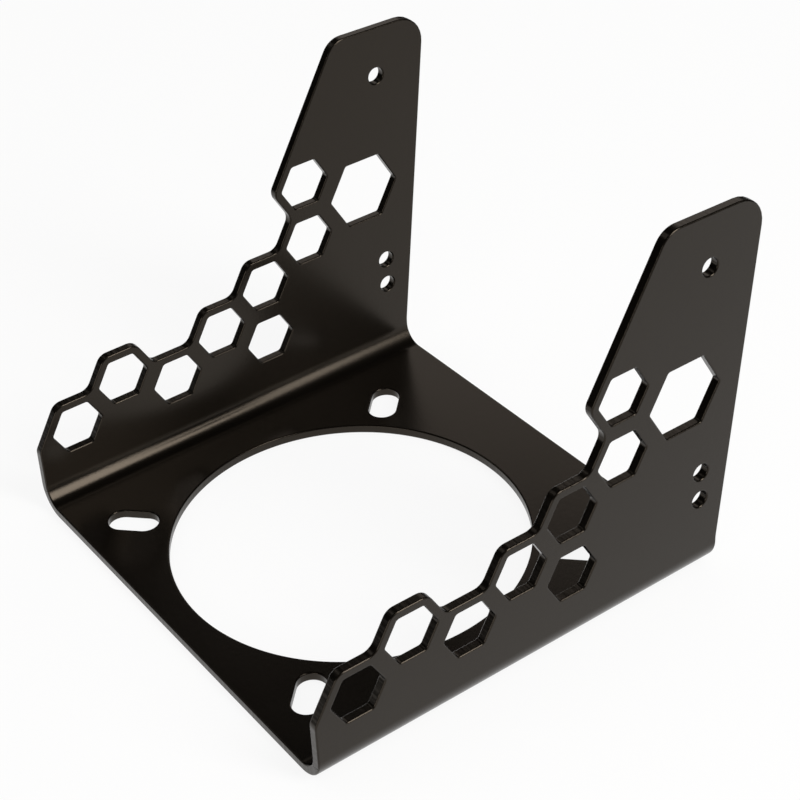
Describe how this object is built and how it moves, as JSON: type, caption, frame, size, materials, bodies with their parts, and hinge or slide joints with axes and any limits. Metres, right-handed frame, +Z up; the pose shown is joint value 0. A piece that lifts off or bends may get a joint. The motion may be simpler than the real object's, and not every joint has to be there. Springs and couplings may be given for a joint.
{
  "type": "motor mounting bracket",
  "caption": "Folded U-shaped sheet steel bracket that bolts a round motor flange to its base and fastens to a frame by two tall stepped flanges with honeycomb openings.",
  "frame": {"origin": "on the axis of the pilot hole, at the underside of the base", "axes": "+X across the two folds, +Y along the folds towards the tall end of the flanges, +Z up, from the base to the top of the flanges"},
  "size_m": [0.153, 0.1527, 0.1234],
  "materials": {
    "black_coating": "satin black powder coating"
  },
  "bodies": {
    "root": {"bracket": "black_coating"}
  },
  "joints": []
}
